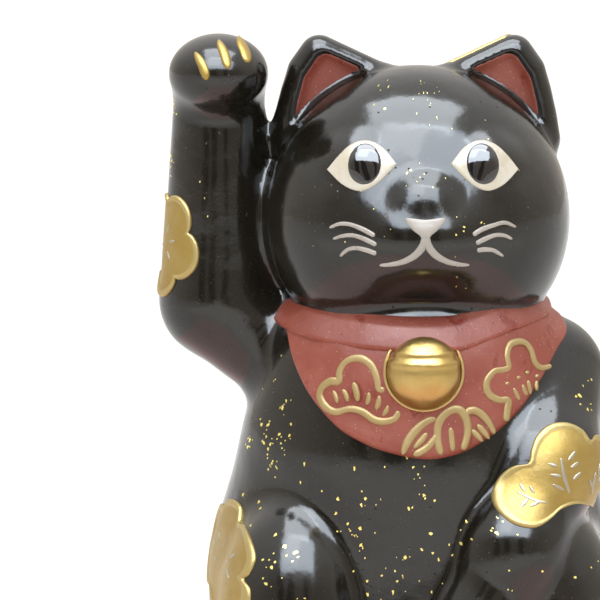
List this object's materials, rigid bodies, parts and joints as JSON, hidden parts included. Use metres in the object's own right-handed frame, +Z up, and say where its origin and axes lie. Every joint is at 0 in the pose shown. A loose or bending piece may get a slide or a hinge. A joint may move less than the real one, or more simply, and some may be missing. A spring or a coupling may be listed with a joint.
{
  "type": "beckoning cat figurine",
  "caption": "Sitting glazed ceramic cat with one foreleg raised in a beckoning gesture, a red bib with a relief bell, and gilded plant patches.",
  "frame": {"origin": "middle of the flat resting face, on the body's axis", "axes": "+Z up, the cat's face looks along -Y, +X is the cat's left"},
  "size_m": [0.1233, 0.1247, 0.1947],
  "materials": {
    "black_glaze": "deep glossy black glaze with a warm grey bloom",
    "bare_clay": "unglazed fired clay, matt",
    "red_enamel": "satin red enamel with a fine grain",
    "white_enamel": "ivory enamel, glossy",
    "pupil_glaze": "glossy black enamel dots",
    "gilding": "burnished gold with brushed strokes",
    "gold_line": "pale raised gold lines",
    "gold_leaf": "bright flakes of gold leaf"
  },
  "bodies": {
    "root": {"torso": "black_glaze", "base_slab": "bare_clay", "head": "black_glaze", "ear_right": "black_glaze", "ear_left": "black_glaze", "raised_foreleg": "black_glaze", "lowered_foreleg": "black_glaze", "hind_paw_right": "black_glaze", "hind_paw_left": "black_glaze", "tail": "black_glaze", "bib": "red_enamel", "bib_collar": "red_enamel", "bell": "gilding", "eye_white_right": "white_enamel", "eye_white_left": "white_enamel", "pupil_right": "pupil_glaze", "pupil_left": "pupil_glaze", "nose_and_mouth": "white_enamel", "whiskers_right": "white_enamel", "whiskers_left": "white_enamel", "ear_lining_right": "red_enamel", "ear_lining_left": "red_enamel", "claws_raised_paw": "gilding", "claws_lowered_paw": "gilding", "claws_hind_paws": "gilding", "gold_patch_foreleg": "gilding", "gold_patch_flank": "gilding", "gold_patch_haunch": "gilding", "gold_patch_back": "gilding", "gold_patch_ear": "gilding", "bib_pine": "gold_line", "bib_bamboo": "gold_line", "bib_plum": "gold_line", "gold_flakes": "gold_leaf"}
  },
  "joints": []
}
